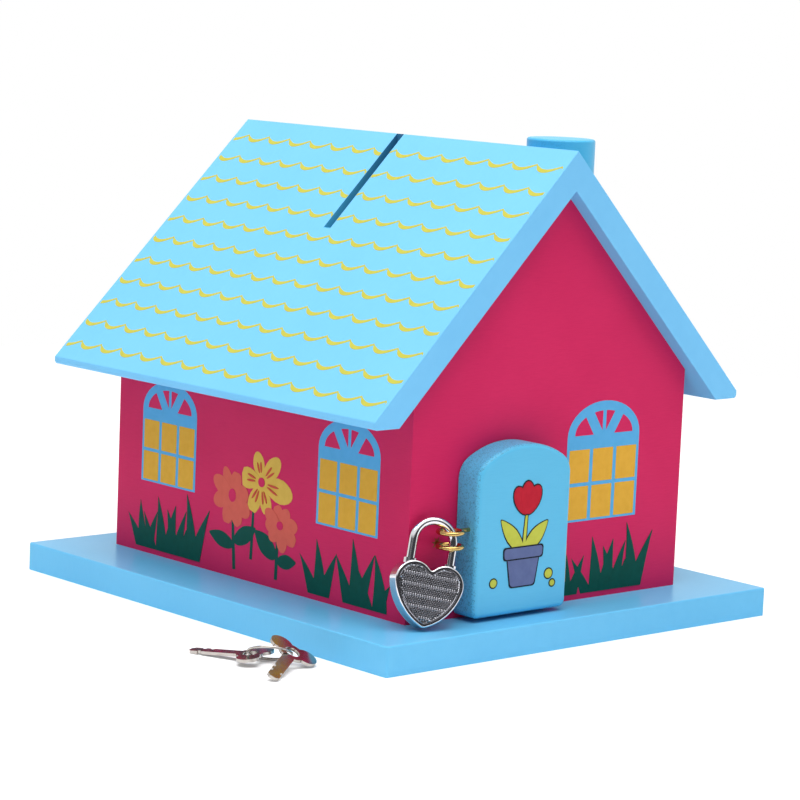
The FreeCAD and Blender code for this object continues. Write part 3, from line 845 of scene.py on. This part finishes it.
def nail_cutter(node):
    """The nails or screws that pass through a board."""
    merged_copy(node, "nail_cutter")
    return put_down("nail_cutter")


def finish_board(board, finish, slot, node):
    """Paint a board and let it stand for its node."""
    take(board)
    bpy.ops.object.shade_smooth_by_angle(angle=math.radians(SMOOTH_BELOW))
    fixed(board, finish, slot, "house")
    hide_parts(node)


def crisp(one, other):
    """Whether an edge of a roof board lies on its ends, but not on the ridge, or along the eave."""
    at_end = abs(one.z - other.z) < NEAR * MM
    at_ridge = max(one.x, other.x) < NEAR * MM
    on_slope = min(one.x + one.y, other.x + other.y) > (RIDGE - NEAR) * MM
    at_eave = on_slope and one.x > (EAVE_REACH - NEAR) * MM
    return (at_end and not at_ridge) or at_eave


def make_roof_board(side, node):
    """A board drawn as its end and drawn out along the ridge."""
    sheet(EAVE_REACH, 2 * RIDGE, right=0.5, up=0.5)
    board = trimmed(put_down(side + "_roof_board"),
                    [((0, RIDGE), (-1, -1)), ((0, ROOF_UNDER), (1, 1)), ((0, EAVE_FOOT), (0, 1))])
    bpy.ops.object.mode_set(mode="EDIT")
    nose = Vector((EAVE_REACH, EAVE_FOOT, 0)) * MM
    pick(lambda at: (at - nose).length < NEAR * MM)
    bpy.ops.mesh.bevel(offset=EAVE_ROUND * MM, segments=EAVE_STEPS, affect="VERTICES")
    bpy.ops.mesh.select_all(action="SELECT")
    length = (ROOF_REAR - ROOF_FRONT) * MM
    bpy.ops.mesh.extrude_region_move(TRANSFORM_OT_translate={"value": (0, 0, length)})
    turn_outwards()
    pick_edges(crisp)
    bpy.ops.mesh.bevel(offset=ARRIS * MM, segments=2, affect="EDGES")
    set_on(put_down(board.name), side + "_end")
    cut_out(board, nail_cutter("roof_brads"))
    if side == "left":
        cut_out(board, set_on(slot_cutter(0, SLOT_LENGTH), "left_slope"))
    else:
        cut_out(board, nail_cutter("chimney_screw"))
    finish_board(board, roof_blue, "sky_paint", node)


make_roof_board("left", "roof_panel_left")
make_roof_board("right", "roof_panel_right")


# The baseboard, with crisp corners

BASE_WIDTH = 160.0
BASE_LENGTH = 177.0
BASE_THICK = 9.0
BASE_CORNER = 0.7
BASE_EDGE = 0.5
BASE_STEPS = 3


def make_base_board():
    """One board with its upper edges eased."""
    block(BASE_WIDTH, BASE_LENGTH, BASE_THICK, up=0.5)
    pick_edges(lambda one, other: abs(one.z - other.z) > NEAR * MM)
    bpy.ops.mesh.bevel(offset=BASE_CORNER * MM, segments=BASE_STEPS, affect="EDGES")
    pick_edges(lambda one, other: min(one.z, other.z) > (BASE_THICK - NEAR) * MM)
    bpy.ops.mesh.bevel(offset=BASE_EDGE * MM, segments=BASE_STEPS, affect="EDGES")
    board = put_down("base_board")
    cut_out(board, nail_cutter("base_screws"))
    finish_board(board, base_blue, "blue_paint", "baseboard")


make_base_board()


# Printed roof tiles

TILE_PITCH = 10.575
TILE_ROW = 9.32
TILE_FIRST_ROW = 6.9
TILE_DEPTH = 3.9
TILE_STROKE = 1.6
TILE_END = 1.1
TILE_STEPS = 16
TILE_ROWS = 11
TILE_COLUMN = 0.02
TILE_CUSP = 0.3
TILE_SWELL = 5
TILE_THIN = 0.52
TILE_THIN_POWER = 1.8
TILE_BOWL = 0.78
EVEN_START = 81.7
ODD_START = 74.7 + TILE_PITCH
SLOT_SPARE = 0.4
SLOT_PRINT_DEPTH = 4


def make_tile():
    """One scallop from a cusp at the origin towards +X: a quick fall, a round bowl, a thin rise."""
    sheet(TILE_PITCH, TILE_STROKE, right=0.5)
    for step in range(1, TILE_STEPS):
        bpy.ops.mesh.select_all(action="SELECT")
        bpy.ops.mesh.bisect(plane_co=(step / TILE_STEPS * TILE_PITCH * MM, 0, 0), plane_no=(1, 0, 0))
    for step in range(TILE_STEPS + 1):
        share = step / TILE_STEPS
        swell = min(1.0, TILE_CUSP + TILE_SWELL * share)
        width = swell * (1 - TILE_THIN * share ** TILE_THIN_POWER)
        fall = math.sin(math.pi * share ** TILE_BOWL) * (TILE_DEPTH - TILE_STROKE)
        pick(lambda at: abs(at.x - share * TILE_PITCH * MM) < TILE_COLUMN * TILE_PITCH * MM)
        bpy.ops.transform.resize(value=(1, width, 1), center_override=(0, 0, 0))
        bpy.ops.transform.translate(value=(0, -fall * MM, 0))
    return put_down("tile")


def make_tiles(side):
    """Rows of scallops down a slope, every other row shifted."""
    one = make_tile()
    ends = [((-ROOF_REAR + TILE_END, 0), (1, 0)), ((-ROOF_FRONT - TILE_END, 0), (-1, 0))]
    rows = []
    for row in range(TILE_ROWS):
        first = EVEN_START if row % 2 else ODD_START
        count = int((first - ROOF_FRONT) / TILE_PITCH) + 1
        strip = in_a_row(one, count, TILE_PITCH, "row")
        moved(strip, -first, -(TILE_FIRST_ROW + row * TILE_ROW))
        rows.append(trimmed(strip, ends))
    start()
    bpy.data.objects.remove(one)
    tiles = joined(rows, side + "_roof_tiles")
    if side == "right":
        moved(tiles, ROOF_REAR + ROOF_FRONT)
    thicken(tiles, INK)
    if side == "left":
        cut_out(tiles, slot_cutter(SLOT_SPARE, SLOT_PRINT_DEPTH))
    laid(tiles, side + "_slope", tile_yellow, "yellow_print")


make_tiles("left")
make_tiles("right")


# The stamped face of the padlock: bands of small diamonds between fine ridges

STUD_WIDE = 0.72
STUD_TALL = 0.5
STUD_RISE = 0.22
STUD_TOP = 0.25
STUD_STEP = 0.74
RUN_BREAK = 1.5 * STUD_STEP
STUD_ROW = 0.52
BAND_ROWS = 5
BAND_STEP = 3.1
RIDGE_WIDTH = 0.34
RIDGE_RISE = 0.24
RIDGE_TOP = 0.15
MARKS_PER_MM = 4
FACE_MARGIN = 0.42
FACE_TOP = -7.0
FACE_LOW = -24.2
FACE_HALF = 12
# Each step of the bead round the face: width, rise
BEAD_STEPS = [(0.16, 0.0), (0.14, 0.2), (0.1, 0.0), (0.14, -0.2)]
BEAD_RINGS = 3


def plate_outline():
    """The face plate's edge in its own plane, in millimetres, walked round its middle."""
    across = Vector(LOCK_ACROSS)
    along = Vector(LOCK_ALONG)
    points = nodes["lock_face_plate"].data.vertices
    local = [Vector(point.co) / MM - Vector(LOCK_PLACE) for point in points]
    edge = {(round(at.dot(across), 3), round(at.dot(along), 3)) for at in local}
    middle = (FACE_TOP + FACE_LOW) / 2
    return sorted(edge, key=lambda at: math.atan2(at[1] - middle, at[0]))


def on_plate(edge, x, y):
    """Whether a point lies within the plate's edge."""
    inside = False
    for (x0, y0), (x1, y1) in zip(edge, edge[1:] + edge[:1]):
        if (y0 > y) != (y1 > y) and x < x0 + (y - y0) / (y1 - y0) * (x1 - x0):
            inside = not inside
    return inside


def clear_of_edge(edge, x, y):
    """Whether a stud fits here inside the bead."""
    room = FACE_MARGIN + STUD_WIDE / 2
    return all(on_plate(edge, x + dx, y + dy)
               for dx, dy in ((room, 0), (-room, 0), (0, room), (0, -room)))


def runs(places):
    """Split sorted places a step apart into unbroken runs."""
    found = []
    for place in places:
        if found and place - found[-1][-1] < RUN_BREAK:
            found[-1].append(place)
        else:
            found.append([place])
    return found


def make_stud():
    """A small diamond with a flat top."""
    disc(4, STUD_WIDE / 2, STUD_TALL / 2)
    draw_up(STUD_RISE, STUD_TOP, STUD_TOP)
    return put_down("stud")


def make_ridge(left, right, up):
    """A fine sharp ridge across the plate."""
    sheet(right - left, RIDGE_WIDTH)
    draw_up(RIDGE_RISE, 1, RIDGE_TOP)
    return moved(put_down("ridge"), (left + right) / 2, up)


def make_stamping():
    """All the diamonds as one piece, and all the ridges as another."""
    edge = plate_outline()
    stud = make_stud()
    rows = []
    ridges = []
    columns = int(FACE_HALF / STUD_STEP)
    last = FACE_HALF * MARKS_PER_MM
    marks = [mark / MARKS_PER_MM for mark in range(-last, last + 1)]
    for band in range(int((FACE_TOP - FACE_LOW) / BAND_STEP) + 1):
        top = FACE_TOP - band * BAND_STEP
        for row in range(BAND_ROWS):
            up = top - (row + 1) * STUD_ROW
            shift = STUD_STEP / 2 * (row % 2)
            spots = [column * STUD_STEP + shift for column in range(-columns, columns)]
            for run in runs([x for x in spots if clear_of_edge(edge, x, up)]):
                rows.append(moved(in_a_row(stud, len(run), STUD_STEP, "row"), run[0], up))
        low = top - BAND_STEP
        for run in runs([x for x in marks if clear_of_edge(edge, x, low)]):
            if len(run) > 1:
                ridges.append(make_ridge(run[0], run[-1], low))
    bpy.data.objects.remove(stud)
    laid(joined(rows, "lock_face_diamonds"), "lock", stamped, "chrome", "padlock")
    laid(joined(ridges, "lock_face_ridges"), "lock", chrome, "chrome", "padlock")


def make_plate():
    """The face plate with a fine raised bead all round, inside its edge."""
    front = Vector(LOCK_PLACE).dot(LOCK_OUT) + PLATE_FRONT
    plate = merged_copy("lock_face_plate", "lock_face")
    bpy.ops.mesh.dissolve_limited(angle_limit=math.radians(1))
    pick(lambda at: abs(at.dot(LOCK_OUT) - front * MM) < NEAR * MM)
    bpy.ops.mesh.select_mode(type="FACE")
    for width, rise in BEAD_STEPS:
        bpy.ops.mesh.inset(thickness=width * MM, depth=rise * MM)
    paint(plate, plate_grey)
    plate.data.materials.append(chrome)
    for index, spread in ((1, bpy.ops.mesh.select_more), (0, bpy.ops.mesh.select_less)):
        for _ in range(BEAD_RINGS):
            spread(use_face_step=False)
        plate.active_material_index = index
        bpy.ops.object.material_slot_assign()
    put_down("lock_face")
    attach(plate, "padlock")
    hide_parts("lock_face_plate")


make_stamping()
make_plate()


# The picture on the door: a flower in a pot, drawn with a dark outline

DRAWN_LINE = 0.42
LOW_INK = 0.05
HIGH_INK = 0.14
RIM_INK = 0.2
BLOOM_WAIST = 0.86
POT_CORNER = 1.0
POT_MIDDLE = -19.5
PEBBLE_POINTS = 18
PEBBLE_SQUASH = 0.94
STALK_FOOT = (POT_MIDDLE, 28.0)
STALK_HEAD = (-18.7, 40.2)
STALK_WIDTH = 1.1


def longer(foot, tip, grow):
    """Both ends of a line, each moved out by a distance."""
    (x0, y0), (x1, y1) = foot, tip
    length = math.hypot(x1 - x0, y1 - y0)
    dx, dy = (x1 - x0) / length * grow, (y1 - y0) / length * grow
    return (x0 - dx, y0 - dy), (x1 + dx, y1 + dy)


def drawn(shapes, name, finish, slot, level):
    """Lay shapes over copies of themselves that are a line's width larger."""
    outlines = stacked([shape(DRAWN_LINE) for shape in shapes], name + "_outline", level)
    laid(outlines, "door", outline_ink, "dark_print", "door")
    fills = stacked([shape(0.0) for shape in shapes], name, level + len(shapes) * FILM_STEP)
    laid(fills, "door", finish, slot, "door")


# Each of these gives a shape that can be drawn larger by a line's width

def stalk_of(foot, head, width):
    return lambda grow: make_stem(foot, head, width + 2 * grow)


def leaf_of(foot, tip, width):
    return lambda grow: make_leaf(*longer(foot, tip, grow), width + 2 * grow)


def petal_of(turn, length, width):
    def shape(grow):
        one = petal(length + 2 * grow, width + 2 * grow, BLOOM_WAIST)
        return moved(moved(one, 0, -grow), *STALK_HEAD, turn)
    return shape


def pot_of(bottom, low, high, height):
    """A pot wider at its top than at its foot."""
    def shape(grow):
        foot = low + 2 * grow
        sheet(foot, height + 2 * grow, up=0.5)
        pick(lambda at: at.y > 0.5 * height * MM)
        widen((high + 2 * grow) / foot)
        bpy.ops.mesh.select_all(action="SELECT")
        bpy.ops.mesh.bevel(offset=POT_CORNER * MM, segments=3, affect="VERTICES")
        return moved(put_down("pot"), POT_MIDDLE, bottom - grow)
    return shape


def pebble_of(right, up, radius):
    def shape(grow):
        disc(PEBBLE_POINTS, radius + grow, PEBBLE_SQUASH * (radius + grow))
        return moved(put_down("pebble"), right, up)
    return shape


drawn([stalk_of(STALK_FOOT, STALK_HEAD, STALK_WIDTH),
       leaf_of((-19.8, 29.0), (-29.0, 39.0), 4.6), leaf_of((-19.0, 29.0), (-10.0, 37.4), 4.8)],
      "door_leaves", leaf_lime, "yellow_print", LOW_INK)
drawn([petal_of(30, 9.4, 5.4), petal_of(-30, 9.4, 5.4), petal_of(0, 9.8, 5.6)],
      "door_bloom", bloom_red, "red_print", HIGH_INK)
drawn([pot_of(18.6, 9.6, 13.0, 9.0)], "door_pot", pot_slate, "slate_print", HIGH_INK)
drawn([pot_of(27.0, 15.4, 15.8, 3.2)], "door_pot_rim", pot_slate, "slate_print", RIM_INK)
drawn([pebble_of(-31.2, 20.4, 1.3), pebble_of(-8.6, 21.2, 1.5), pebble_of(-6.9, 18.2, 1.0)],
      "door_pebbles", leaf_lime, "yellow_print", LOW_INK)


# Paint chipped from the wall round the lower screw eye

CHIP_PLACE = (-45.8, 32.3)
CHIP_RADIUS = 2.0
CHIP_POINTS = 14
CHIP_SKEW = 0.3
CHIP_NOTCH = 0.45
CHIP_WITHIN = math.cos(math.radians(12))


def make_chip():
    """A ragged patch of bare wood."""
    disc(CHIP_POINTS, CHIP_RADIUS, CHIP_RADIUS)
    for spike in range(CHIP_POINTS // 2):
        angle = 2 * math.pi * (2 * spike + CHIP_SKEW) / CHIP_POINTS
        aim = Vector((-math.sin(angle), math.cos(angle), 0))
        pick(lambda at: at.normalized().dot(aim) > CHIP_WITHIN)
        bpy.ops.transform.resize(value=(CHIP_NOTCH, CHIP_NOTCH, 1), center_override=(0, 0, 0))
    chip = moved(put_down("wall_eye_chip"), *CHIP_PLACE)
    thicken(chip, INK)
    laid(chip, "front", bare_wood, "pink_paint")


make_chip()


# The floor

FLOOR_RADIUS = 0.62
FLOOR_POINTS = 72
FLOOR_SPOTS = 3.0
PALE = (0.95, 0.95, 0.95, 1)
PALER = (0.97, 0.97, 0.97, 1)
WHITE = (1, 1, 1, 1)

start()
bpy.ops.mesh.primitive_circle_add(vertices=FLOOR_POINTS, radius=FLOOR_RADIUS, fill_type="NGON",
                                  location=(0, 0, 0))
floor = bpy.context.object
floor.name = "floor"
floor_white, floor_shader, floor_place = new_finish("floor_white")
feed(floor_shader, "Base Color", floor_place.noise(FLOOR_SPOTS).mix(PALE, PALER))
hold(floor_shader, {"Roughness": 0.9, "Specular IOR Level": 0.0,
                    "Emission Color": WHITE, "Emission Strength": 0.08})
floor.data.materials.append(floor_white)


# White behind, softer light on the object, and a dark front for the metal to mirror

FRONT_WAY = (-0.66, -0.74, 0)
DARK_FRONT = (0.05, 0.05, 0.055, 1)
SOFT_GREY = (0.42, 0.42, 0.43, 1)

world = bpy.data.worlds.new("studio")
bpy.context.scene.world = world
world.use_nodes = True
backdrop = world.node_tree.nodes["Background"]
way = Tone(world.node_tree, world.node_tree.nodes.new("ShaderNodeTexCoord").outputs["Generated"])
seen = way.node("ShaderNodeLightPath", None, None, 0)
mirrored = way.node("ShaderNodeLightPath", None, None, 3)
low_front = way.along(FRONT_WAY).ramp(low=0.0, high=0.35) * (1.0 - way.axis(2).ramp(low=0.35, high=0.5))
reflected = low_front.mix(WHITE, DARK_FRONT)
feed(backdrop, "Color", seen.mix(mirrored.mix(SOFT_GREY, reflected), WHITE))
hold(backdrop, {"Strength": 1.0})
bpy.context.scene.view_settings.view_transform = "Standard"


def soft_light(name, place, aim, width, watts):
    """A square lamp aimed at a point."""
    start()
    bpy.ops.object.light_add(type="AREA", location=place)
    lamp = bpy.context.object
    lamp.name = name
    lamp.data.shape = "RECTANGLE"
    lamp.data.size = width
    lamp.data.size_y = width
    lamp.data.energy = watts
    lamp.rotation_mode = "QUATERNION"
    lamp.rotation_quaternion = (Vector(aim) - Vector(place)).to_track_quat("-Z", "Y")


soft_light("overhead", place=(-0.3, -0.1, 1.3), aim=(0, 0, 0.05), width=1.4, watts=20.5)
soft_light("front_fill", place=(0.25, -0.7, 1.25), aim=(0, 0, 0.06), width=0.8, watts=4.0)


# The camera, at the photograph's place and angle

CAMERA_AZIMUTH = math.radians(-41.931)
CAMERA_ELEVATION = math.radians(7.994)
CAMERA_ROLL = math.radians(2.376)
CAMERA_PLACE = (-614.44, -684.42, 191.69)
CAMERA_LENS = 130.9
CAMERA_SENSOR = 36.0
CAMERA_NEAR = 0.05
CAMERA_FAR = 20.0

flat = math.cos(CAMERA_ELEVATION)
back = Vector((math.sin(CAMERA_AZIMUTH) * flat, -math.cos(CAMERA_AZIMUTH) * flat,
               math.sin(CAMERA_ELEVATION)))
level = Vector((math.cos(CAMERA_AZIMUTH), math.sin(CAMERA_AZIMUTH), 0))
rise = back.cross(level)
right = level * math.cos(CAMERA_ROLL) + rise * math.sin(CAMERA_ROLL)
up = rise * math.cos(CAMERA_ROLL) - level * math.sin(CAMERA_ROLL)
start()
bpy.ops.object.camera_add()
camera = bpy.context.object
camera.data.sensor_width = CAMERA_SENSOR
camera.data.lens = CAMERA_LENS
camera.data.clip_start = CAMERA_NEAR
camera.data.clip_end = CAMERA_FAR
camera.matrix_world = (Matrix.Translation(Vector(CAMERA_PLACE) * MM)
                       @ Matrix((right, up, back)).transposed().to_4x4())
bpy.context.scene.camera = camera
